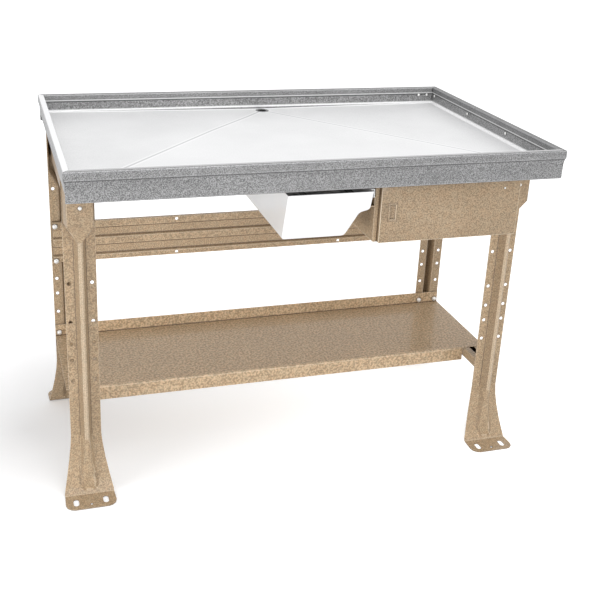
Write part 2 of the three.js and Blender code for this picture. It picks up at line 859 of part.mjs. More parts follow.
// The left runner hangs from the bearers and carries the flange of the pan on its ledge
function leftRunner() {
  const ledgeTop = panTop - panWall - fitGap;
  const web = fromLeft(panLeft - panFlange) - runnerSideGap;
  const top = bearerBottom - fitGap;
  const path = rounded([
    point(web - runnerLedge - railSheet, top),
    point(web, top),
    point(web, ledgeTop - railSheet),
    point(web + runnerLedge, ledgeTop - railSheet),
  ], sheetCornerRadius);
  return alongY(strip(path, -railSheet), fromFront(leftRunnerFromFront), fromFront(panBack - runnerBackGap));
}

// Drawer case: bottom, sides, back and top flanges, with a turned-in frame round its front

const caseRight = caseLeft + caseWidth;
const caseBottom = topHeight - caseDrop;
const caseTop = bearerBottom - fitGap;
const frontFace = fromFront(frontFromFront);
const caseFront = frontFace + frontReturn + fitGap;
const caseBack = caseFront + caseDepth;

// The mouth of the case, inside its front frame
const mouthLeft = caseLeft + caseFrameSide;
const mouthRight = caseRight - caseFrameSide;
const mouthBottom = caseBottom + caseFrameBottom;
const mouthTop = caseTop - caseFrameTop;

function drawerCase() {
  const x0 = fromLeft(caseLeft);
  const x1 = fromLeft(caseRight);
  const t = trimSheet;
  const section = roundedOutline(rectangle(x0, caseBottom, x1, caseTop), sheetCornerRadius);
  const outer = solid(alongY(section, caseFront, caseBack));
  const innerOutline = rectangle(x0 + t, caseBottom + t, x1 - t, caseTop - t);
  const inner = alongY(innerOutline, caseFront + t, caseBack - t);
  const left = fromLeft(mouthLeft);
  const right = fromLeft(mouthRight);
  const mouthOutline = rectangle(left, mouthBottom, right, mouthTop);
  const mouth = alongY(mouthOutline, caseFront - overrun, caseFront + t + overrun);
  const openTop = rectangle(left, caseFront + caseFrameSide, right, caseBack - caseFrameSide);
  const top = alongZ(openTop, caseTop - t - overrun, caseTop + overrun);
  return geometryOf(cut(outer, [inner, mouth, top]));
}

// Drawer front: a formed panel over the mouth of the case, with a lip turned in behind it all round

function drawerFront() {
  const x0 = fromLeft(caseLeft + frontSetIn);
  const x1 = fromLeft(caseRight + frontOverlap);
  const z0 = caseBottom;
  const z1 = caseTop - frontTopGap;
  const t = trimSheet;
  const back = frontFace + frontReturn;
  const outer = solid(alongY(roundedOutline(rectangle(x0, z0, x1, z1), sheetCornerRadius), frontFace, back));
  const hollow = alongY(rectangle(x0 + t, z0 + t, x1 - t, z1 - t), frontFace + t, back - t);
  const inner = rectangle(x0 + frontLip, z0 + frontLip, x1 - frontLip, z1 - frontLip);
  return geometryOf(cut(outer, [hollow, alongY(inner, back - t - overrun / 2, back + overrun)]));
}

// Drawer tray with a turned-out hem, its slides and the runners in the case

const trayLeft = mouthLeft + mouthGap + slideLedge + railSheet;
const trayRight = mouthRight - mouthGap - slideLedge - railSheet;
const trayBottom = mouthBottom + mouthGap + trayLift;
const trayTop = trayBottom + trayHeight;
const trayFront = frontFace + frontReturn + fitGap;
const trayBack = trayFront + trayDepth;
const runnerFront = caseFront + trimSheet + fitGap;
const slideBottom = trayBottom + slideRise;

function drawerTray() {
  const x0 = fromLeft(trayLeft);
  const x1 = fromLeft(trayRight);
  const t = trimSheet;
  const whole = rectangle(x0, trayBottom, x1, trayTop + sheetCornerRadius);
  const section = roundedOutline(whole, sheetCornerRadius);
  const outer = solid(alongY(section, trayFront, trayBack));
  const hollow = rectangle(x0 + t, trayBottom + t, x1 - t, trayTop + overrun);
  const inner = alongY(hollow, trayFront + t, trayBack - t);
  const lid = rectangle(x0 - overrun, trayTop, x1 + overrun, trayTop + overrun);
  const over = alongY(lid, trayFront - overrun, trayBack + overrun);
  const body = cut(outer, [inner, over]);
  const hem = (from, to) => solid(alongY(rectangle(from, trayTop - t, to, trayTop), trayFront, trayBack));
  return geometryOf(body.add(hem(x0 - trayHem, x0 + t / 2)).add(hem(x1 - t / 2, x1 + trayHem)));
}

// A moving slide: an angle on the tray's side, whose arm runs in the runner
function movingSlide(side) {
  const face = side < 0 ? fromLeft(trayLeft) - fitGap : fromLeft(trayRight) + fitGap;
  const armTop = slideBottom + railSheet + fitGap + railSheet;
  const path = rounded([
    point(face + side * (slideArm + railSheet), armTop),
    point(face, armTop),
    point(face, armTop - slideFlangeDrop),
  ], sheetCornerRadius);
  return alongY(strip(path, side * railSheet), trayFront, trayBack);
}

// A fixed runner: a channel on the case's side, open towards the drawer
function fixedRunner(side) {
  const web = side < 0 ? fromLeft(caseLeft) + trimSheet + fitGap : fromLeft(caseRight) - trimSheet - fitGap;
  const tray = side < 0 ? fromLeft(trayLeft) - fitGap : fromLeft(trayRight) + fitGap;
  const tip = tray + side * (railSheet + slidePlay);
  const path = rounded([
    point(tip, slideBottom + slideHeight),
    point(web, slideBottom + slideHeight),
    point(web, slideBottom),
    point(tip, slideBottom),
  ], sheetCornerRadius);
  return alongY(strip(path, -side * railSheet), runnerFront, caseBack - trimSheet - fitGap);
}

function addDrawer() {
  add('drawer_case', drawerCase(), paintMaterial);
  add('drawer_front', drawerFront(), paintMaterial);
  add('drawer_tray', drawerTray(), paintMaterial);
  for (const [name, side] of [['left', -1], ['right', 1]]) {
    add(`drawer_runner_${name}`, fixedRunner(side), zincMaterial);
    add(`drawer_slide_${name}`, movingSlide(side), zincMaterial);
  }
}

// Bolts: a hexagon head, a shank and a nut, along Y, with the head at the lower end
function bolt(grip, shankRadius, headRadius) {
  const reach = grip + fitGap * 2;
  const head = alongY(circle(0, 0, headRadius, 6), -boltHeadHeight, 0);
  const shank = alongY(circle(0, 0, shankRadius, 8), -boltHeadHeight / 2, reach + nutHeight + boltTail);
  const nut = alongY(circle(0, 0, headRadius, 6), reach, reach + nutHeight);
  return geometryOf(solid(head).add(solid(shank)).add(solid(nut)));
}

const flangeBolt = (grip) => bolt(grip, boltRadius, boltHeadRadius);
const headBolt = (grip) => bolt(grip, headBoltRadius, headBoltHeadRadius);

// A bolt is placed by the outer face of its grip, and it points to the middle of the bench
function addBolt(name, geometry, x, y, z) {
  const mesh = add(name, geometry, zincMaterial);
  const side = Math.sign(y);
  mesh.position.set(x, y + side * fitGap, z);
  mesh.rotation.z = side > 0 ? Math.PI : 0;
}

function addBolts() {
  const railBolt = flangeBolt(legSheet + fitGap + railSheet);
  const shelfBolt = flangeBolt(legSheet + fitGap + shelfSheet);
  const stringerBolt = flangeBolt(legSheet + fitGap + stringerStandOff + railSheet);
  const topBolt = headBolt(legSheet + fitGap + railSheet);
  for (const [side, x] of [['left', -legX], ['right', legX]]) {
    addBolt(`bolt_top_front_${side}`, topBolt, x, -legY - headDepth, headBoltHeight);
    addBolt(`bolt_top_rear_${side}`, topBolt, x, legY + headDepth, headBoltHeight);
    for (const [name, offset] of [['a', -legHoleOffset], ['b', legHoleOffset]]) {
      addBolt(`bolt_rail_rear_${side}_${name}`, railBolt, x + offset, legY, endRailBoltHeight);
      addBolt(`bolt_shelf_${side}_${name}`, shelfBolt, x + offset, legY, shelfBoltHeight);
      stringerBoltHeights.forEach((height, k) => {
        addBolt(`bolt_stringer_${side}_${name}${k + 1}`, stringerBolt, x + offset, legY, height);
      });
    }
  }
}

// Assembly

add('tank_pan', tankPan(), tankFloorMaterial);
addRims();
add('drain_spout', drainSpout(), tankMaterial);
addLegs();
addRails();
add('rear_stringer', rearStringer(), paintMaterial);
add('lower_shelf', lowerShelf(), paintMaterial);
add('drain_pan', drainPan(), whiteMaterial);
add('pan_runner_left', leftRunner(), paintMaterial);
add('pan_runner_right', rightRunner(), paintMaterial);
addDrawer();
addBolts();

export default group;
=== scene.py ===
# %% [markdown]
# A steel workbench whose top is a shallow drain tank. The solids of the bench come in as a fixed
# frame: every leg, rail, sheet and bolt already stands at its place, in metres. This lesson gives
# them their finishes, smooths the pressed sheets and adds the small pieces that catch the eye: the
# drawer's pull, bolts with washers, rivets and the drain ring.

# %% Load the frame
import json
import math

import bpy
from mathutils import Matrix, Vector


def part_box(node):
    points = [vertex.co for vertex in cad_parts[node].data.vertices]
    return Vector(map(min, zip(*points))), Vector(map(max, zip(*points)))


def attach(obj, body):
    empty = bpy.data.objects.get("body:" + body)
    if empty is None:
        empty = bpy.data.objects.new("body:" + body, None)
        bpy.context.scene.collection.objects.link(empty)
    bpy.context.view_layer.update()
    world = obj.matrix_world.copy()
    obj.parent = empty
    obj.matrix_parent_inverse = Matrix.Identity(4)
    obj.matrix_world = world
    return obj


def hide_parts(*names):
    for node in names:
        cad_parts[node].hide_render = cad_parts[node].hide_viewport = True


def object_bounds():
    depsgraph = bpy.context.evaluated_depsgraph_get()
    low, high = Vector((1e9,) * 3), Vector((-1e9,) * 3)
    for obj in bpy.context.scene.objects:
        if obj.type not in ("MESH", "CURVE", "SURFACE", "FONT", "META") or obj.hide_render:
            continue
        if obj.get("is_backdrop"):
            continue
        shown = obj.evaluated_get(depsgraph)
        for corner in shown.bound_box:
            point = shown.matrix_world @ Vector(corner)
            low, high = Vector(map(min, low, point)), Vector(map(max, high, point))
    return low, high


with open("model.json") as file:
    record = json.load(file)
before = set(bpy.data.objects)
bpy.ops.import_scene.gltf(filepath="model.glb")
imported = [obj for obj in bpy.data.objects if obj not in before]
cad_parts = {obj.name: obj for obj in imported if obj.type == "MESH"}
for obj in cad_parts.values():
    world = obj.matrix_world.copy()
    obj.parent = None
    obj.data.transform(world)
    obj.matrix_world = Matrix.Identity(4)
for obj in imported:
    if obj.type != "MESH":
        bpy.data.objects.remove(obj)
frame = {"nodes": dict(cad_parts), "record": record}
cad_low, cad_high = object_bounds()
nodes = frame["nodes"]
scene = bpy.context.scene
print("nodes:", len(nodes), "box:", [round(v, 4) for v in (*cad_low, *cad_high)])

# %% [markdown]
# The picture was taken from the front left, a little above the top, with the camera held slightly
# tilted. The lens and the three angles were worked out from the corners of the tank and the holes
# in the legs, so here they are written as a photographer would set them: place, turn, tilt, roll
# and lens.

# %% Camera
camera_place = Vector((-0.7624, -2.3967, 1.5079))
camera_turn = math.radians(18.53)
camera_tilt = math.radians(21.34)
camera_roll = math.radians(2.819)
camera_lens = 58.54
camera_shift = (0.0089, -0.0767)

bpy.ops.object.camera_add(location=camera_place)
camera = bpy.context.object
turn = Matrix.Rotation(-camera_turn, 3, "Z")
tilt = Matrix.Rotation(math.pi / 2 - camera_tilt, 3, "X")
roll = Matrix.Rotation(camera_roll, 3, "Z")
camera.rotation_euler = (turn @ tilt @ roll).to_euler()
camera.data.sensor_width = 36
camera.data.lens = camera_lens
camera.data.shift_x, camera.data.shift_y = camera_shift
camera.data.clip_end = 50
scene.camera = camera
print("camera at", [round(v, 3) for v in camera.location])

# %% [markdown]
# A catalogue picture of a bench has a white ground and broad soft lamps. One at the front, and a
# low one at the left, reach under the top, so that the stringer and the shelf are nearly as light
# as the legs. A weak one hangs to the front right, and the last stands above the tank and throws
# the soft shadow on the floor.

# %% Lights
def soft_lamp(name, place, target, size, power):
    bpy.ops.object.light_add(type="AREA", location=place)
    lamp = bpy.context.object
    lamp.name = name
    lamp.data.shape = "DISK"
    lamp.data.size = size
    lamp.data.energy = power
    lamp.rotation_euler = (Vector(target) - Vector(place)).to_track_quat("-Z", "Y").to_euler()
    return lamp


right_lamp = soft_lamp("right_lamp", (2.4, -3.0, 2.6), (0, 0, 0.5), 2.0, 14)
front_lamp = soft_lamp("front_lamp", (0.2, -3.6, 1.5), (0, 0, 0.4), 2.4, 44)
left_lamp = soft_lamp("left_lamp", (-3.2, -1.4, 0.55), (0, 0, 0.4), 1.8, 50)
top_lamp = soft_lamp("top_lamp", (0.0, -0.7, 3.5), (0, 0, 0.8), 2.0, 34)
print("lamps:", right_lamp.name, front_lamp.name, left_lamp.name, top_lamp.name)

# %% [markdown]
# The world has two faces. What the camera sees, directly or in a reflection, is plain white; what
# lights the matt surfaces is a softer grey. The white background then puts no extra light on the
# steel.

# %% World
world = bpy.data.worlds.new("studio")
scene.world = world
world.use_nodes = True
air = world.node_tree
air.nodes.clear()


def background(color, strength):
    shader = air.nodes.new("ShaderNodeBackground")
    shader.inputs["Color"].default_value = (*color, 1)
    shader.inputs["Strength"].default_value = strength
    return shader


seen = background((1, 1, 1), 1.0)
ambient = background((0.98, 0.985, 1.0), 0.7)
path = air.nodes.new("ShaderNodeLightPath")
either = air.nodes.new("ShaderNodeMath")
either.operation = "MAXIMUM"
either_more = air.nodes.new("ShaderNodeMath")
either_more.operation = "MAXIMUM"
blend = air.nodes.new("ShaderNodeMixShader")
sky_out = air.nodes.new("ShaderNodeOutputWorld")
air.links.new(path.outputs["Is Camera Ray"], either.inputs[0])
air.links.new(path.outputs["Is Glossy Ray"], either.inputs[1])
air.links.new(either.outputs[0], either_more.inputs[0])
air.links.new(path.outputs["Is Transmission Ray"], either_more.inputs[1])
air.links.new(either_more.outputs[0], blend.inputs[0])
air.links.new(ambient.outputs[0], blend.inputs[1])
air.links.new(seen.outputs[0], blend.inputs[2])
air.links.new(blend.outputs[0], sky_out.inputs[0])
scene.view_settings.view_transform = "Standard"
print("world ready")

# %% [markdown]
# The floor is a plain white sheet. It shows only the soft shadow of the bench: for the camera it
# glows a little, so that its lit part turns white and melts into the background while the shadow
# stays grey. The glow is weakest beside the left legs, where the shadow is deepest, and grows
# outwards from there, so this uneven glow also makes the shadow there darker: a painted shadow.

# %% Floor
floor_size = 30
floor_drop = 0.0005
glow_near = 0.12
glow_far = 0.62
shadow_middle = (-0.7, 0.1, 0)
shadow_reach = 0.9
ground_tone = 0.8
bpy.ops.object.select_all(action="DESELECT")
bpy.ops.mesh.primitive_plane_add(size=floor_size, location=(0, 0, -floor_drop))
floor = bpy.context.object
floor.name = "floor"
floor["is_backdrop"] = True

floor_paint = bpy.data.materials.new("white_ground")
floor_paint.use_nodes = True
ground = floor_paint.node_tree
ground.nodes.clear()
matt = ground.nodes.new("ShaderNodeBsdfDiffuse")
matt.inputs["Color"].default_value = (ground_tone, ground_tone, ground_tone, 1)
glow = ground.nodes.new("ShaderNodeEmission")
glow.inputs["Color"].default_value = (1, 1, 1, 1)
ground_path = ground.nodes.new("ShaderNodeLightPath")
ground_place = ground.nodes.new("ShaderNodeTexCoord")
away = ground.nodes.new("ShaderNodeVectorMath")
away.operation = "DISTANCE"
away.inputs[1].default_value = shadow_middle
# Painted shadow: the glow grows from glow_near at shadow_middle to glow_far at shadow_reach away
# from it.
spread_glow = ground.nodes.new("ShaderNodeMapRange")
spread_glow.inputs["From Max"].default_value = shadow_reach
spread_glow.inputs["To Min"].default_value = glow_near
spread_glow.inputs["To Max"].default_value = glow_far
glow_level = ground.nodes.new("ShaderNodeMath")
glow_level.operation = "MULTIPLY"
total = ground.nodes.new("ShaderNodeAddShader")
ground_out = ground.nodes.new("ShaderNodeOutputMaterial")
ground.links.new(ground_place.outputs["Object"], away.inputs[0])
ground.links.new(away.outputs["Value"], spread_glow.inputs["Value"])
ground.links.new(spread_glow.outputs["Result"], glow_level.inputs[1])
ground.links.new(ground_path.outputs["Is Camera Ray"], glow_level.inputs[0])
ground.links.new(glow_level.outputs[0], glow.inputs["Strength"])
ground.links.new(matt.outputs[0], total.inputs[0])
ground.links.new(glow.outputs[0], total.inputs[1])
ground.links.new(total.outputs[0], ground_out.inputs[0])
floor.data.materials.append(floor_paint)
print("floor ready")

# %% [markdown]
# Every finish below is built from the same few steps: noise in the object's own coordinates,
# mapped to a small range of colours, and the same noise again as a fine bump. One short helper
# adds a node and joins its inputs.

# %% Material helpers
class Finish:
    """A material under construction, with one Principled shader."""

    corner_samples = 8
    corner_limit = 8.0
    fold_limit = 14.0
    level_limit = 4.0
    inner_fold_dark = 0.85
    root_start = 0.04
    root_dark = 0.82

    def __init__(self, name, metallic, roughness, coat=0.0):
        self.material = bpy.data.materials.new(name)
        self.material.use_nodes = True
        self.tree = self.material.node_tree
        self.shader = self.tree.nodes["Principled BSDF"]
        self.shader.inputs["Metallic"].default_value = metallic
        self.shader.inputs["Roughness"].default_value = roughness
        self.shader.inputs["Coat Weight"].default_value = coat
        self.place = self.tree.nodes.new("ShaderNodeTexCoord").outputs["Object"]

    def node(self, kind, **inputs):
        made = self.tree.nodes.new("ShaderNode" + kind)
        for key, value in inputs.items():
            self.put(made, key, value)
        return made

    def put(self, node, key, value):
        names = {"input_0": 0, "input_1": 1, "input_2": 2}
        socket = node.inputs[names.get(key, key.replace("_", " "))]
        if isinstance(value, bpy.types.NodeSocket):
            self.tree.links.new(value, socket)
        else:
            socket.default_value = value

    def stretched(self, scale):
        return self.node("Mapping", Vector=self.place, Scale=scale).outputs[0]

    def noise(self, scale, detail=3.0, roughness=0.55, vector=None):
        made = self.node("TexNoise", Scale=scale, Detail=detail, Roughness=roughness)
        self.put(made, "Vector", vector or self.place)
        return made.outputs["Fac"]

    def ramp(self, value, *stops):
        made = self.node("ValToRGB", Fac=value)
        scale = made.color_ramp.elements
        while len(scale) < len(stops):
            scale.new(0.5)
        for element, (position, color) in zip(scale, stops):
            element.position = position
            element.color = (*color, 1)
        return made.outputs["Color"]

    def mix(self, factor, first, second, mode="MIX"):
        made = self.tree.nodes.new("ShaderNodeMix")
        made.data_type = "RGBA"
        made.blend_type = mode
        color_inputs = [made.inputs[0], made.inputs[6], made.inputs[7]]
        for socket, value in zip(color_inputs, (factor, first, second)):
            if isinstance(value, bpy.types.NodeSocket):
                self.tree.links.new(value, socket)
            else:
                socket.default_value = value
        return made.outputs[2]

    def math(self, operation, first, second=0.0, third=0.0, clamp=False):
        made = self.node("Math", input_0=first, input_1=second, input_2=third)
        made.operation = operation
        made.use_clamp = clamp
        return made.outputs[0]

    def nearly_one(self, value, limit):
        """1 where the value is 1, falling to 0 sooner the higher the limit."""
        return self.math("MULTIPLY_ADD", value, limit, 1.0 - limit, clamp=True)

    def rounded_normal(self, radius):
        return self.node("Bevel", Radius=radius).outputs[0]

    def edge_mask(self, radius):
        """1 along outer and inner folds, 0 on flat sheet."""
        flat_normal = self.node("NewGeometry").outputs["Normal"]
        dot = self.tree.nodes.new("ShaderNodeVectorMath")
        dot.operation = "DOT_PRODUCT"
        self.tree.links.new(self.rounded_normal(radius), dot.inputs[0])
        self.tree.links.new(flat_normal, dot.inputs[1])
        return self.math("SUBTRACT", 1.0, dot.outputs["Value"])

    def openness(self, reach):
        """1 on free surfaces, less in corners and where pieces meet."""
        made = self.node("AmbientOcclusion", Distance=reach)
        made.samples = self.corner_samples
        return made.outputs["AO"]

    def fold_marks(self, sense):
        """1 in the middle of the fold faces of one sense: 1 for outer folds, -1 for inner ones."""
        geometry = self.node("NewGeometry")
        dot = self.tree.nodes.new("ShaderNodeVectorMath")
        dot.operation = "DOT_PRODUCT"
        self.tree.links.new(geometry.outputs["Normal"], dot.inputs[0])
        self.tree.links.new(geometry.outputs["True Normal"], dot.inputs[1])
        middle = self.nearly_one(dot.outputs["Value"], self.fold_limit)
        mark = self.tree.nodes.new("ShaderNodeAttribute")
        mark.attribute_name = "fold_line"
        marked = self.math("MULTIPLY", mark.outputs["Fac"], sense, clamp=True)
        return self.math("MULTIPLY", marked, middle)

    def fold_lines(self, color, light, dark, reach, radius, ridge_strength, root_strength,
                   outer_light=0.24):
        """Painted highlights on the outer folds, and thin dark lines of painted shade in the inner
        corners.
        """
        outer_fold = self.math("MULTIPLY", self.fold_marks(1.0), outer_light)
        color = self.mix(outer_fold, color, light)
        inner_fold = self.math("MULTIPLY", self.fold_marks(-1.0), self.inner_fold_dark)
        color = self.mix(inner_fold, color, dark)
        free = self.openness(reach)
        ridge = self.math("MULTIPLY", self.edge_mask(radius), ridge_strength, clamp=True)
        outer = self.nearly_one(free, self.corner_limit)
        color = self.mix(self.math("MULTIPLY", ridge, outer), color, light)
        hidden = self.math("SUBTRACT", 1.0, free)
        root = self.math("MULTIPLY_ADD", hidden, root_strength, -self.root_start, clamp=True)
        return self.mix(self.math("MULTIPLY", root, self.root_dark), color, dark)

    def level_line(self, color, level, half_width, tone, strength):
        """A level line round the piece, by its tone a painted highlight or a painted shadow along
        a hem or a seam.
        """
        height = self.node("SeparateXYZ", Vector=self.place).outputs["Z"]
        away = self.math("ABSOLUTE", self.math("SUBTRACT", height, level))
        line = self.math("SUBTRACT", 1.0, self.math("DIVIDE", away, half_width), clamp=True)
        return self.mix(self.math("MULTIPLY", line, strength), color, (tone, tone, tone, 1))

    def upward(self):
        """1 on faces that look up, 0 on upright ones."""
        normal = self.node("NewGeometry").outputs["Normal"]
        up = self.node("SeparateXYZ", Vector=normal).outputs["Z"]
        return self.nearly_one(up, self.level_limit)

    def bump(self, height, distance, strength=1.0, normal=None):
        made = self.node("Bump", Height=height, Distance=distance, Strength=strength)
        if normal is not None:
            self.put(made, "Normal", normal)
        return made.outputs[0]

    def finish(self, **inputs):
        for key, value in inputs.items():
            self.put(self.shader, key, value)
        return self.material


print("helpers ready")

# %% [markdown]
# The frame is pressed steel in a tan enamel. Real enamel is never one flat colour: it carries a
# fine speckle and cloudy patches where the spray lay thicker. Over each fold it gets a lighter
# line, partly where the enamel pulls thin and partly a painted highlight. The fold line comes from
# marks on the narrow faces of each fold, and from comparing the true normal with one rounded over
# a millimetre and a half, or three on the drawer front. The dark line in each inner corner is
# painted shade, drawn from how little of the room that corner sees. Close under the top, where the
# frame lies in shade, its tan is drawn a little darker: painted shade.

# %% Tan enamel
head_start = 0.68
head_blend = 0.05
fine_speckle = 310.0
coarse_speckle = 170.0


def tan_enamel(name, level, speckle_scale=fine_speckle, outer_light=0.24, fold_radius=0.0014,
               head_shade=0.0):
    finish = Finish(name, 0.0, 0.42, coat=0.3)
    finish.shader.inputs["Specular IOR Level"].default_value = 0.3
    cloud = finish.noise(7.0, 3.0)
    speckle = finish.noise(speckle_scale, 2.0, 0.6)
    tint = finish.noise(90.0, 2.0)
    body = finish.ramp(cloud, (0.3, (0.487, 0.355, 0.227)), (0.7, (0.553, 0.407, 0.265)))
    warmth = finish.ramp(tint, (0.35, (0.97, 1.0, 1.0)), (0.65, (1.0, 0.97, 0.93)))
    grain = finish.ramp(speckle, (0.4, (0.54, 0.53, 0.51)), (0.6, (1.0, 1.0, 1.0)))
    color = finish.mix(1.0, finish.mix(1.0, body, warmth, "MULTIPLY"), grain, "MULTIPLY")
    color = finish.mix(1.0, color, (level, level, level, 1), "MULTIPLY")
    # Painted shade: above head_start the tan turns darker, close under the top.
    height = finish.node("SeparateXYZ", Vector=finish.place).outputs["Z"]
    above = finish.math("SUBTRACT", height, head_start)
    near_top_shade = finish.math("DIVIDE", above, head_blend, clamp=True)
    color = finish.mix(finish.math("MULTIPLY", near_top_shade, head_shade), color, (0.2, 0.14, 0.085, 1))
    # Painted highlight on the outer folds and painted shade in the inner corners.
    light, dark = (0.95, 0.82, 0.64, 1), (0.10, 0.065, 0.038, 1)
    color = finish.fold_lines(color, light, dark, 0.0035, fold_radius, 3.0, 3.4, outer_light)
    roughness = finish.math("MULTIPLY_ADD", cloud, 0.2, 0.34)
    peel = finish.noise(260.0, 2.0)
    normal = finish.bump(peel, 0.0002, 0.3, finish.rounded_normal(0.0008))
    return finish.finish(Base_Color=color, Roughness=roughness, Normal=normal)


# The shelf and the stringer are drawn lighter and the drawer front darker than the rest of the
# frame: painted light and painted shade for how much light reaches each under the top. The drawer
# front also gets a stronger painted highlight on its folds.
tan = tan_enamel("tan_enamel", 1.0, head_shade=0.24)
tan_shelf = tan_enamel("tan_enamel_shelf", 1.24, coarse_speckle)
tan_stringer = tan_enamel("tan_enamel_stringer", 1.1)
tan_drawer = tan_enamel("tan_enamel_drawer", 0.84, outer_light=0.62, fold_radius=0.0032)
print("made", tan.name, tan_shelf.name, tan_stringer.name, tan_drawer.name)

# %% [markdown]
# The rim and the apron of the tank are bare rolled steel. It is a mid grey with a sandy grain a
# millimetre or two across and faint streaks along the length of the sheet. Painted highlights and
# painted shadows are drawn on it as level lines; a line is given by its level, half its width, its
# tone and its strength. Faces that look up get a tone of their own, painted light on some sections
# and painted shade on others, with a dark line along their outer edge; a top face is given by the
# axis it ends on, where it ends, its tone and its strength.

# %% Bare steel of the rim
edge_line_width = 0.0045
edge_line_strength = 0.75


def rim_steel(name, low, high, streak_axis, lines=(), outer_edge=None):
    finish = Finish(name, 0.25, 0.45, coat=0.12)
    grain = finish.noise(430.0, 2.0, 0.7)
    cloud = finish.noise(12.0, 2.0)
    stretch = (0.06, 1.0, 1.0) if streak_axis == "x" else (1.0, 0.06, 1.0)
    streak = finish.noise(70.0, 2.0, 0.5, finish.stretched(stretch))
    tone = finish.ramp(grain, (0.41, (low, low, low * 1.01)), (0.59, (high, high, high)))
    soft = finish.ramp(cloud, (0.3, (0.88, 0.88, 0.88)), (0.7, (1, 1, 1)))
    drawn = finish.ramp(streak, (0.35, (0.9, 0.9, 0.9)), (0.65, (1, 1, 1)))
    color = finish.mix(1.0, finish.mix(1.0, tone, soft, "MULTIPLY"), drawn, "MULTIPLY")
    # Painted highlight on the outer folds and painted shade in the inner corners.
    light, dark = (0.78, 0.78, 0.785, 1), (0.04, 0.04, 0.04, 1)
    color = finish.fold_lines(color, light, dark, 0.004, 0.0012, 0.5, 2.6)
    for level, half_width, shade, strength in lines:
        color = finish.level_line(color, level, half_width, shade, strength)
    # Faces that look up are drawn towards top_tone: painted light where it is pale, painted shade
    # where it is dark. A dark line runs along their outer edge.
    if outer_edge:
        axis, reach, top_tone, top_strength = outer_edge
        top = finish.upward()
        top_color = (top_tone, top_tone, top_tone, 1)
        color = finish.mix(finish.math("MULTIPLY", top, top_strength), color, top_color)
        spot = finish.node("SeparateXYZ", Vector=finish.place)
        out = finish.math("ABSOLUTE", spot.outputs[axis])
        beyond = finish.math("GREATER_THAN", out, reach - edge_line_width)
        line = finish.math("MULTIPLY", beyond, top)
        color = finish.mix(finish.math("MULTIPLY", line, edge_line_strength), color, dark)
    roughness = finish.math("MULTIPLY_ADD", grain, 0.22, 0.34)
    normal = finish.bump(grain, 0.0003, 0.25, finish.rounded_normal(0.0008))
    return finish.finish(Base_Color=color, Roughness=roughness, Normal=normal)


# Level lines: a painted highlight along the lip seam of the back and short rims; on the tank wall
# a painted shadow under the lip and a painted highlight at its foot; on the front a painted
# highlight on the band's lower fold with a painted shadow under it.
lip_seam = 0.882
rim_seam_highlight = ((lip_seam + 0.0016, 0.0022, 0.85, 0.85),)
wall_foot = 0.853
wall_shadow_and_highlight = ((lip_seam - 0.0022, 0.003, 0.03, 0.75), (wall_foot + 0.0015, 0.0045, 0.98, 1.0))
band_foot = 0.8772
no_edge_line = 1.0
front_highlight_and_shadow = ((band_foot + 0.0030, 0.0022, 0.7, 0.2), (band_foot, 0.0022, 0.04, 0.55))
# Top faces are painted lighter on the front rim, as painted light, and darker on the back and
# short rims, as painted shade.
rim_long = rim_steel("rim_steel_long", 0.12, 0.385, "x", front_highlight_and_shadow,
                     ("Y", cad_high.y, 0.8, 0.45))
rim_back_steel = rim_steel("rim_steel_back", 0.11, 0.38, "x", rim_seam_highlight,
                           ("Y", cad_high.y, 0.04, 0.3))
rim_short = rim_steel("rim_steel_short", 0.09, 0.32, "y", rim_seam_highlight,
                      ("X", cad_high.x, 0.04, 0.3))
# The left rim gets a lighter copy of the steel with near-white top faces: a painted reflection.
rim_painted_reflection = rim_steel("rim_steel_painted_reflection", 0.30, 0.60, "y", (),
                       ("X", no_edge_line, 0.93, 0.9))
wall_steel = rim_steel("wall_steel", 0.12, 0.43, "x", wall_shadow_and_highlight)
# Nearly black: painted shade inside the drain.
drain_steel = rim_steel("drain_steel", 0.03, 0.07, "x")
steels = (rim_long, rim_back_steel, rim_short, rim_painted_reflection, wall_steel, drain_steel)
print("made", [steel.name for steel in steels])

# %% [markdown]
# The tank's floor is a bright sheet. Shallow creases run from the corners to the drain. They are
# real folds in the solid, but so flat that the eye finds them by the thin line of the bend, which
# the finish draws with the distance to each crease as painted shade with a painted highlight
# beside it. The facet in front of the drain is drawn a little lighter: painted light. A lighter
# band runs along the walls, where the sheet bends up: a painted highlight.

# %% Bright floor sheet
crease_width = 0.0034
wall_bend = 0.016
bend_blend = 0.005
floor_low, floor_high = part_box("tank_pan")
drain_low, drain_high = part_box("drain_spout")
drain = (drain_low + drain_high) / 2


def beside(finish, start, end):
    """Distance from the straight line between two points of the plan, with a sign for the side."""
    along = Vector((end.x - start.x, end.y - start.y, 0)).normalized()
    across = Vector((-along.y, along.x, 0))
    dot = finish.tree.nodes.new("ShaderNodeVectorMath")
    dot.operation = "DOT_PRODUCT"
    finish.tree.links.new(finish.place, dot.inputs[0])
    dot.inputs[1].default_value = across
    return finish.math("SUBTRACT", dot.outputs["Value"], across.dot(Vector((start.x, start.y, 0))))


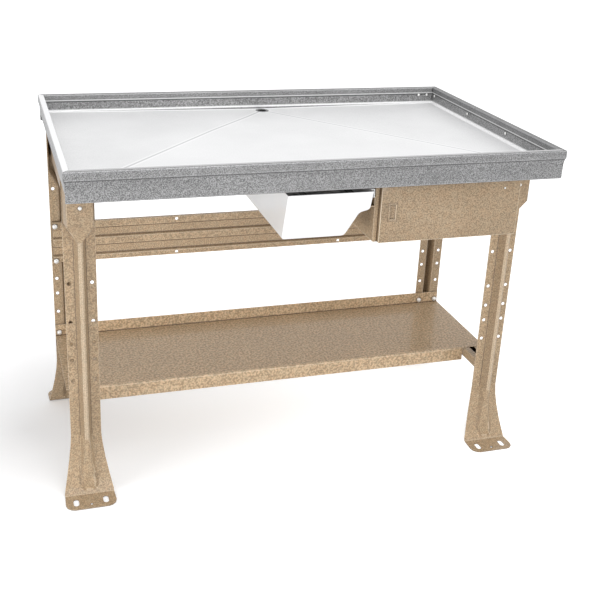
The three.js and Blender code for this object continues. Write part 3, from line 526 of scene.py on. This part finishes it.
def floor_sheet():
    finish = Finish("floor_sheet", 0.12, 0.4)
    grain = finish.noise(330.0, 4.0, 0.65)
    cloud = finish.noise(5.0, 3.0)
    body = finish.ramp(cloud, (0.3, (0.77, 0.77, 0.77)), (0.7, (0.84, 0.84, 0.84)))
    speck = finish.ramp(grain, (0.3, (0.87, 0.87, 0.87)), (0.66, (1, 1, 1)))
    color = finish.mix(1.0, body, speck, "MULTIPLY")
    left = beside(finish, Vector((floor_low.x, floor_low.y, 0)), drain)
    right = beside(finish, Vector((floor_high.x, floor_low.y, 0)), drain)
    # Painted light: the facet in front of the drain, between the two front creases.
    after_left = finish.math("LESS_THAN", left, 0.0)
    before_right = finish.math("GREATER_THAN", right, 0.0)
    in_front = finish.math("MULTIPLY", after_left, before_right)
    color = finish.mix(finish.math("MULTIPLY", in_front, 0.16), color, (0.94, 0.94, 0.94, 1))
    # Painted shade along each crease, with a painted highlight beside it.
    for offset in (left, right):
        near = finish.math("DIVIDE", finish.math("ABSOLUTE", offset), crease_width)
        line = finish.math("SUBTRACT", 1.0, near, clamp=True)
        color = finish.mix(finish.math("MULTIPLY", line, 0.7), color, (0.34, 0.34, 0.35, 1))
        from_line = finish.math("ABSOLUTE", finish.math("SUBTRACT", near, 2.0))
        bright = finish.math("SUBTRACT", 1.0, from_line, clamp=True)
        color = finish.mix(finish.math("MULTIPLY", bright, 0.7), color, (0.97, 0.97, 0.97, 1))
    # Painted highlight: a lighter band along the walls, where the sheet bends up.
    spot = finish.node("SeparateXYZ", Vector=finish.place)
    for axis, reach in (("X", floor_high.x), ("Y", floor_high.y)):
        out = finish.math("ABSOLUTE", spot.outputs[axis])
        inside = finish.math("SUBTRACT", out, reach - wall_bend)
        bend = finish.math("DIVIDE", inside, bend_blend, clamp=True)
        color = finish.mix(bend, color, (0.99, 0.99, 0.99, 1))
    return finish.finish(Base_Color=color, Normal=finish.bump(grain, 0.0002, 0.2))


sheet = floor_sheet()
print("made", sheet.name, "drain at", [round(v, 4) for v in drain])

# %% [markdown]
# The drain pan is enamelled white. Bolts, runners and slides are zinc plated, with the faint
# yellow and grey clouds that plating has.

# %% White enamel and zinc
def white_enamel():
    finish = Finish("white_enamel", 0.0, 0.32, coat=0.4)
    cloud = finish.noise(11.0, 2.0)
    color = finish.ramp(cloud, (0.3, (0.79, 0.80, 0.81)), (0.7, (0.84, 0.84, 0.84)))
    # Painted highlight on the pan's outer folds and painted shade in its inner corners.
    light, dark = (0.97, 0.97, 0.97, 1), (0.2, 0.2, 0.21, 1)
    color = finish.fold_lines(color, light, dark, 0.006, 0.0012, 2.0, 0.7)
    normal = finish.bump(finish.noise(300.0, 2.0), 0.00015, 0.3)
    roughness = finish.math("MULTIPLY_ADD", cloud, 0.15, 0.25)
    return finish.finish(Base_Color=color, Roughness=roughness, Normal=normal)


def zinc_plate():
    finish = Finish("zinc_plate", 0.55, 0.3)
    cloud = finish.noise(180.0, 3.0)
    color = finish.ramp(cloud, (0.3, (0.78, 0.775, 0.75)), (0.7, (0.93, 0.925, 0.91)))
    scratch = finish.noise(900.0, 2.0)
    rounded = finish.rounded_normal(0.0004)
    return finish.finish(Base_Color=color, Normal=finish.bump(scratch, 0.0001, 0.3, rounded))


white = white_enamel()
zinc = zinc_plate()
print("made", white.name, zinc.name)

# %% [markdown]
# Each solid names the finish of its real piece. The short rim sections are streaked along their
# own length, and the spout under the drain is drawn nearly black inside: painted shade.

# %% Finishes for the solids
finish_of_slot = {
    "tank_steel": rim_long,
    "tank_floor": sheet,
    "tan_paint": tan,
    "white_paint": white,
    "zinc": zinc,
}
finish_of_node = {
    "rim_left": rim_painted_reflection,
    "rim_right": rim_short,
    "rim_back": rim_back_steel,
    "drain_spout": drain_steel,
    "lower_shelf": tan_shelf,
    "rear_stringer": tan_stringer,
    "drawer_front": tan_drawer,
}
record = frame["record"]
slot_of = {part["node"]: part["material_slot"] for part in record["subparts"]}
held_by = record["behaviour"]["bodies"]
body_of = {node: body for body, held in held_by.items() for node in held}
for node, slot_name in slot_of.items():
    mesh = nodes[node].data
    mesh.materials.clear()
    mesh.materials.append(finish_of_node.get(node, finish_of_slot[slot_name]))
print("finished", len(slot_of), "solids")

# %% [markdown]
# The steps below use four small tools: one selects a single piece, one selects faces by where they
# are or how they look, one applies a modifier, and one lets a finished piece stand for the solid
# that it was made from.

# %% Selecting and replacing
def only(piece):
    bpy.ops.object.select_all(action="DESELECT")
    piece.select_set(True)
    bpy.context.view_layer.objects.active = piece


def pick_faces(piece, wanted):
    """Leaves edit mode with just the wanted faces selected."""
    bpy.ops.object.mode_set(mode="EDIT")
    bpy.ops.mesh.select_mode(type="FACE")
    bpy.ops.mesh.select_all(action="DESELECT")
    bpy.ops.object.mode_set(mode="OBJECT")
    for face in piece.data.polygons:
        face.select = bool(wanted(face))
    bpy.ops.object.mode_set(mode="EDIT")


def use_modifier(piece, name, kind, **settings):
    modifier = piece.modifiers.new(name, kind)
    for key, value in settings.items():
        setattr(modifier, key, value)
    only(piece)
    bpy.ops.object.modifier_apply(modifier=name)


def stand_for(piece, *replaced):
    """The piece rides with the body of the solids that it replaces, which are hidden."""
    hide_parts(*replaced)
    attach(piece, body_of[replaced[0]])


soft_edge_angle = 0.6
print("ready to model")

# %% [markdown]
# The pressed sheets come as loose triangles with a few flat facets at each fold. On the real bench
# every fold is round. A copy of each sheet has its triangles joined and its flat faces made whole
# again, then it is shaded smooth across the folds, with the large flat faces keeping their own
# direction, so that only the folds turn.

# %% Marks on the folds
fold_width = 0.0075
wall_width = 0.03
wall_mark = -0.3
hole_facet = 0.0052
foot_bend_top = 0.03
foot_top = 0.16
foot_mark = -0.45
most = 1.5
little = 0.3
most_of_one_side = 0.8
clearly_wider = 1.3
fold_turn = math.radians(6)
cut_turn = math.radians(80)


def mark_folds(mesh):
    """Marks narrow faces that turn the same way at both sides: 1 outer fold, -1 inner fold."""
    sides = {}
    for face in mesh.polygons:
        for key in face.edge_keys:
            sides.setdefault(key, []).append(face)
    length = {key: (mesh.vertices[key[0]].co - mesh.vertices[key[1]].co).length for key in sides}
    width = [face.area / max(length[key] for key in face.edge_keys) for face in mesh.polygons]
    marks = mesh.attributes.new("fold_line", "FLOAT", "FACE").data
    for face in mesh.polygons:
        longest = max(length[key] for key in face.edge_keys)
        outer = inner = widest = 0.0
        for key in face.edge_keys:
            for other in sides[key]:
                turn = face.normal.angle(other.normal, 0.0)
                if other.index == face.index or not fold_turn < turn < cut_turn:
                    continue
                if (other.center - face.center).dot(face.normal) > 0:
                    inner += length[key]
                else:
                    outer += length[key]
                widest = max(widest, width[other.index])
        both_sides = min(inner, outer) > most_of_one_side * longest
        # Rib walls get a weak negative mark: painted shade on them.
        if both_sides and width[face.index] < wall_width:
            marks[face.index].value = wall_mark
        if width[face.index] > fold_width:
            continue
        inner_fold = inner > most * longest and outer < little * longest
        outer_fold = outer > most * longest and inner < little * longest
        # Hole walls and inner folds get -1, painted shade. In the foot the bend gets 1, a painted
        # highlight, and the root line above it a weaker painted shade. Outer folds get 1, a
        # painted highlight.
        if longest < hole_facet:
            marks[face.index].value = -1.0
        elif inner_fold and face.center.z < foot_top:
            marks[face.index].value = 1.0 if face.center.z < foot_bend_top else foot_mark
        elif inner_fold:
            marks[face.index].value = -1.0
        elif outer_fold and widest > clearly_wider * width[face.index]:
            marks[face.index].value = 1.0


def roll_hole_rims(piece, offset):
    """Breaks the edge between each punched hole and its sheet, as the punch leaves it."""
    mesh = piece.data
    sides = {}
    for face in mesh.polygons:
        ends = [(mesh.vertices[a].co, mesh.vertices[b].co) for a, b in face.edge_keys]
        longest = max((a - b).length for a, b in ends)
        for key in face.edge_keys:
            sides.setdefault(key, []).append((longest < hole_facet, face.normal.copy()))
    only(piece)
    bpy.ops.object.mode_set(mode="EDIT")
    bpy.ops.mesh.select_mode(type="EDGE")
    bpy.ops.mesh.select_all(action="DESELECT")
    bpy.ops.object.mode_set(mode="OBJECT")
    for edge in mesh.edges:
        small = [side[0] for side in sides[edge.key]]
        normals = [side[1] for side in sides[edge.key]]
        at_hole = len(small) == 2 and small[0] != small[1]
        edge.select = at_hole and normals[0].angle(normals[1], 0.0) > cut_turn
    bpy.ops.object.mode_set(mode="EDIT")
    bpy.ops.mesh.bevel(offset=offset, segments=1, affect="EDGES")
    bpy.ops.object.mode_set(mode="OBJECT")


print("folds up to", fold_width, "wide are marked")

# %% [markdown]
# Now every pressed sheet is taken in turn. The legs also get the edges of their punched holes
# broken.

# %% Smooth pressed sheets
def smooth_sheet(node, name, fold_angle, rim=0.0):
    piece = bpy.data.objects.new(name, nodes[node].data.copy())
    scene.collection.objects.link(piece)
    only(piece)
    bpy.ops.object.mode_set(mode="EDIT")
    bpy.ops.mesh.select_all(action="SELECT")
    bpy.ops.mesh.customdata_custom_splitnormals_clear()
    bpy.ops.mesh.remove_doubles(threshold=0.00001)
    bpy.ops.mesh.dissolve_limited(angle_limit=math.radians(1))
    bpy.ops.object.mode_set(mode="OBJECT")
    if rim:
        roll_hole_rims(piece, rim)
    bpy.ops.object.shade_smooth_by_angle(angle=math.radians(fold_angle))
    use_modifier(piece, "flat_faces", "WEIGHTED_NORMAL", keep_sharp=True, weight=80)
    mark_folds(piece.data)
    stand_for(piece, node)
    return piece


smooth_nodes = [f"leg_{end}_{side}" for end in ("front", "rear") for side in ("left", "right")]
smooth_nodes += [f"rim_{side}" for side in ("front", "back", "left", "right")]
smooth_nodes += [f"lower_end_rail_{side}" for side in ("left", "right")]
smooth_nodes += [f"top_end_rail_{side}" for side in ("left", "right")]
smooth_nodes += ["rear_stringer", "lower_shelf", "front_bearer", "rear_bearer"]
smooth_nodes += ["drawer_case", "drawer_tray"]
smooth_nodes += ["pan_runner_left", "pan_runner_right", "drain_pan", "drain_spout"]
sheet_fold_angle = 48
hole_rim = 0.0012
pressed = []
for node in smooth_nodes:
    rim = hole_rim if node.startswith("leg_") else 0.0
    pressed.append(smooth_sheet(node, node + "_pressed", sheet_fold_angle, rim))
for piece in pressed:
    values = [mark.value for mark in piece.data.attributes["fold_line"].data]
    print(piece.name, "folds out/in:", values.count(1.0), values.count(-1.0))

# %% [markdown]
# The tank is one folded sheet, but its walls are drawn dark like the rim while the floor is
# bright: the copy of the tank gets a second, darker finish on every face that stands upright, as
# painted shade.

# %% Tank walls and floor
tank = smooth_sheet("tank_pan", "tank_sheet", 30)
tank.data.materials.append(wall_steel)
pick_faces(tank, lambda face: abs(face.normal.z) < 0.5)
tank.active_material_index = 1
bpy.ops.object.material_slot_assign()
bpy.ops.object.mode_set(mode="OBJECT")
print("tank faces:", len(tank.data.polygons))

# %% [markdown]
# The drawer front is a formed panel over the mouth of the case, with a small pull pressed into its
# left end. It is made from one block of the panel's size: a lip is left round the back by an
# inset, the middle is pushed in, and on the face four cuts mark out the pull, which then gets a
# raised ring and is pushed back in two steps.

# %% Drawer front
front_low, front_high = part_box("drawer_front")
front_size = front_high - front_low
front_middle = (front_low + front_high) / 2
pull_low = Vector((0.1560, front_low.y, 0.7325))
pull_high = Vector((0.1790, front_low.y, 0.7785))
panel_lip = 0.036
panel_sheet = 0.0012
pull_depth = 0.0075
pull_edge = 0.0016
pull_rise = 0.0014
pull_lip = 0.0022
first_push = 0.75
pull_reach = Vector((0.008, 0, 0.01))

bpy.ops.object.select_all(action="DESELECT")
bpy.ops.mesh.primitive_cube_add(size=1, location=front_middle, scale=front_size)
panel = bpy.context.object
panel.name = "drawer_panel"
bpy.ops.object.transform_apply(location=True, rotation=True, scale=True)
pick_faces(panel, lambda face: face.normal.y > 0.9)
bpy.ops.mesh.inset(thickness=panel_lip)
bpy.ops.transform.translate(value=(0, panel_sheet - front_size.y, 0))
for normal in ((1, 0, 0), (0, 0, 1)):
    for corner in (pull_low, pull_high):
        pick_faces(panel, lambda face: face.normal.y < -0.9)
        bpy.ops.mesh.bisect(plane_co=corner, plane_no=normal)
pull_middle = (pull_low + pull_high) / 2


def in_pull(face):
    away = face.center - pull_middle
    near = abs(away.x) < pull_reach.x and abs(away.z) < pull_reach.z
    return face.normal.y < -0.9 and near


pick_faces(panel, in_pull)
bpy.ops.mesh.inset(thickness=pull_edge, depth=pull_rise)
bpy.ops.mesh.inset(thickness=pull_lip)
bpy.ops.mesh.inset(thickness=pull_lip, depth=-pull_depth * first_push)
bpy.ops.mesh.inset(thickness=pull_edge, depth=-pull_depth * (1 - first_push))
bpy.ops.object.mode_set(mode="OBJECT")
panel.data.materials.append(tan_drawer)
use_modifier(panel, "folds", "BEVEL", width=0.0018, segments=2,
             limit_method="ANGLE", angle_limit=math.radians(25))
mark_folds(panel.data)
only(panel)
bpy.ops.object.shade_smooth_by_angle(angle=math.radians(40))
stand_for(panel, "drawer_front")
print("drawer panel faces:", len(panel.data.polygons))

# %% [markdown]
# The bolts show as bright points in the legs. Each has a hexagon head with turned-off corners, a
# washer and a nut. The pieces are made once for each length, from cylinders whose end faces are
# inset and lifted, then every bolt gets a copy with its own mesh, turned to its side of the bench.

# %% A bolt with washer and nut
crown_lift = 0.45


def turned_block(sides, radius, low_y, high_y, crown, outer_end):
    """A prism along Y whose outer end is drawn in a little, as a turned head is."""
    middle = (0, (low_y + high_y) / 2, 0)
    bpy.ops.object.select_all(action="DESELECT")
    quarter = (math.pi / 2, 0, 0)
    bpy.ops.mesh.primitive_cylinder_add(vertices=sides, radius=radius, depth=high_y - low_y,
                                        location=middle, rotation=quarter)
    block = bpy.context.object
    bpy.ops.object.transform_apply(location=True, rotation=True, scale=True)
    pick_faces(block, lambda face: face.normal.y * outer_end > 0.9)
    bpy.ops.mesh.inset(thickness=crown)
    bpy.ops.transform.translate(value=(0, outer_end * crown * crown_lift, 0))
    bpy.ops.object.mode_set(mode="OBJECT")
    return block


head_height = 0.005
nut_height = 0.0065
bolt_tail = 0.003
washer_thickness = 0.001
head_crown = 0.0012
head_lift = head_crown * crown_lift
washer_spread = 1.12
washer_crown = 0.0004
large_head = 0.006
large_shank = 0.004
small_shank = 0.003
top_bolt_scale = 0.78
bolt_kinds = {}


def bolt_for(length, head_radius, shank_radius):
    """A bolt along +Y from its head's outer face to its tip."""
    key = (round(length, 5), round(head_radius, 5))
    if key in bolt_kinds:
        return bolt_kinds[key]
    nut_start = length - bolt_tail - nut_height
    nut_end = nut_start + nut_height - head_lift
    washer_start = head_height - washer_thickness
    washer_radius = head_radius * washer_spread
    blocks = [
        turned_block(6, head_radius, head_lift, washer_start, head_crown, -1),
        turned_block(24, washer_radius, washer_start, head_height, washer_crown, -1),
        turned_block(16, shank_radius, head_height, length - head_lift, head_crown, 1),
        turned_block(6, head_radius, nut_start, nut_end, head_crown, 1),
    ]
    bpy.ops.object.select_all(action="DESELECT")
    for block in blocks:
        block.select_set(True)
    bpy.context.view_layer.objects.active = blocks[0]
    bpy.ops.object.join()
    pattern = bpy.context.object
    use_modifier(pattern, "soft_edges", "BEVEL", width=0.0002, segments=2,
                 limit_method="ANGLE", angle_limit=soft_edge_angle)
    only(pattern)
    bpy.ops.object.shade_smooth_by_angle(angle=math.radians(35))
    mesh = pattern.data
    bpy.data.objects.remove(pattern)
    bolt_kinds[key] = mesh
    return mesh


for node in [name for name in slot_of if name.startswith("bolt_")]:
    low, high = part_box(node)
    middle = (low + high) / 2
    rear = middle.y > 0
    drawn_scale = top_bolt_scale if node.startswith("bolt_top") else 1.0
    head_radius = (high.z - low.z) / 2 * drawn_scale
    shank_radius = large_shank if head_radius > large_head else small_shank
    mesh = bolt_for(high.y - low.y, head_radius, shank_radius).copy()
    if rear:
        mesh.transform(Matrix.Rotation(math.pi, 4, "Z"))
    mesh.transform(Matrix.Translation((middle.x, high.y if rear else low.y, middle.z)))
    piece = bpy.data.objects.new(node + "_fitted", mesh)
    scene.collection.objects.link(piece)
    mesh.materials.clear()
    mesh.materials.append(zinc)
    stand_for(piece, node)
print("bolt lengths:", sorted(key[0] for key in bolt_kinds))

# %% [markdown]
# Small rivets hold the tank's wall to the rim. They show as bright points on the right wall and
# near the back right corner, the left wall has the same three as the right one, and one more shows
# at the upper right corner of the drawer front. A rivet's head is a flattened dome: a sphere cut
# in half and pressed down.

# %% Rivets in the tank wall and the drawer front
rivet_radius = 0.0042
rivet_height = 0.0018
front_rivet_scale = 0.6
wall_x = floor_high.x - panel_sheet
wall_y = floor_high.y - panel_sheet

bpy.ops.object.select_all(action="DESELECT")
bpy.ops.mesh.primitive_uv_sphere_add(segments=24, ring_count=16, radius=rivet_radius)
dome = bpy.context.object
bpy.ops.object.mode_set(mode="EDIT")
bpy.ops.mesh.select_all(action="SELECT")
bpy.ops.mesh.bisect(plane_co=(0, 0, 0), plane_no=(0, 0, 1), clear_inner=True, use_fill=True)
bpy.ops.mesh.select_all(action="SELECT")
bpy.ops.transform.resize(value=(1, 1, rivet_height / rivet_radius))
bpy.ops.object.mode_set(mode="OBJECT")
only(dome)
bpy.ops.object.shade_smooth_by_angle(angle=math.radians(50))
dome_mesh = dome.data
bpy.data.objects.remove(dome)

face_left = Matrix.Rotation(-math.pi / 2, 4, "Y")
face_front = Matrix.Rotation(math.pi / 2, 4, "X")
face_right = Matrix.Rotation(math.pi / 2, 4, "Y")
side_places = ((-0.1030, 0.8728), (0.1236, 0.8725), (0.350, 0.8754))
rivet_places = [(wall_x, y, z, face_left) for y, z in side_places]
rivet_places += [(-wall_x, y, z, face_right) for y, z in side_places]
rivet_places += [(x, wall_y, z, face_front) for x, z in ((0.5467, 0.8770), (0.574, 0.8770))]
rivet_places += [(0.4661, front_low.y, 0.8014, face_front)]
for k, (x, y, z, turned) in enumerate(rivet_places):
    on_drawer = y == front_low.y
    mesh = dome_mesh.copy()
    mesh.transform(Matrix.Scale(front_rivet_scale if on_drawer else 1.0, 4))
    mesh.transform(turned)
    mesh.transform(Matrix.Translation((x, y, z)))
    mesh.materials.append(zinc)
    name = "front_rivet" if on_drawer else f"wall_rivet_{k + 1}"
    rivet = bpy.data.objects.new(name, mesh)
    scene.collection.objects.link(rivet)
    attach(rivet, "drawer" if on_drawer else "bench")
print("rivets:", len(rivet_places))

# %% [markdown]
# The drain has a pressed ring round its hole. It is a short tube whose upper edge is spread
# outwards: a circle is extruded up, then scaled out, and a wall thickness and a bevel finish it.

# %% Drain ring
ring_inner = 0.0136
ring_outer = 0.0195
ring_top = 0.0009
ring_depth = 0.001
floor_at_drain = drain_high.z + 0.0015
ring_start = (drain.x, drain.y, floor_at_drain - ring_depth)

bpy.ops.object.select_all(action="DESELECT")
bpy.ops.mesh.primitive_circle_add(vertices=48, radius=ring_inner, location=ring_start)
ring = bpy.context.object
ring.name = "drain_ring"
bpy.ops.object.transform_apply(location=True, rotation=True, scale=True)
spread = ring_outer / ring_inner
bpy.ops.object.mode_set(mode="EDIT")
bpy.ops.mesh.select_mode(type="EDGE")
bpy.ops.mesh.select_all(action="SELECT")
bpy.ops.mesh.extrude_region_move(TRANSFORM_OT_translate={"value": (0, 0, ring_depth + ring_top)})
bpy.ops.mesh.extrude_region_move(TRANSFORM_OT_translate={"value": (0, 0, 0)})
ring_centre = (drain.x, drain.y, floor_at_drain)
bpy.ops.transform.resize(value=(spread, spread, 1), center_override=ring_centre)
bpy.ops.mesh.extrude_region_move(TRANSFORM_OT_translate={"value": (0, 0, -ring_top * 0.6)})
bpy.ops.mesh.select_all(action="SELECT")
bpy.ops.mesh.normals_make_consistent(inside=False)
bpy.ops.object.mode_set(mode="OBJECT")
use_modifier(ring, "wall", "SOLIDIFY", thickness=0.0005, offset=-1)
use_modifier(ring, "soft_edges", "BEVEL", width=0.00015, segments=2,
             limit_method="ANGLE", angle_limit=soft_edge_angle)
only(ring)
bpy.ops.object.shade_smooth_by_angle(angle=math.radians(40))
ring.data.materials.append(wall_steel)
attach(ring, "bench")
ring_top_level = round(floor_at_drain + ring_top, 4)
print("drain ring faces:", len(ring.data.polygons), "top at", ring_top_level)

# %% [markdown]
# Last, the box round everything is measured, as the box of the solids was at the start.

# %% Sizes
low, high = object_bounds()
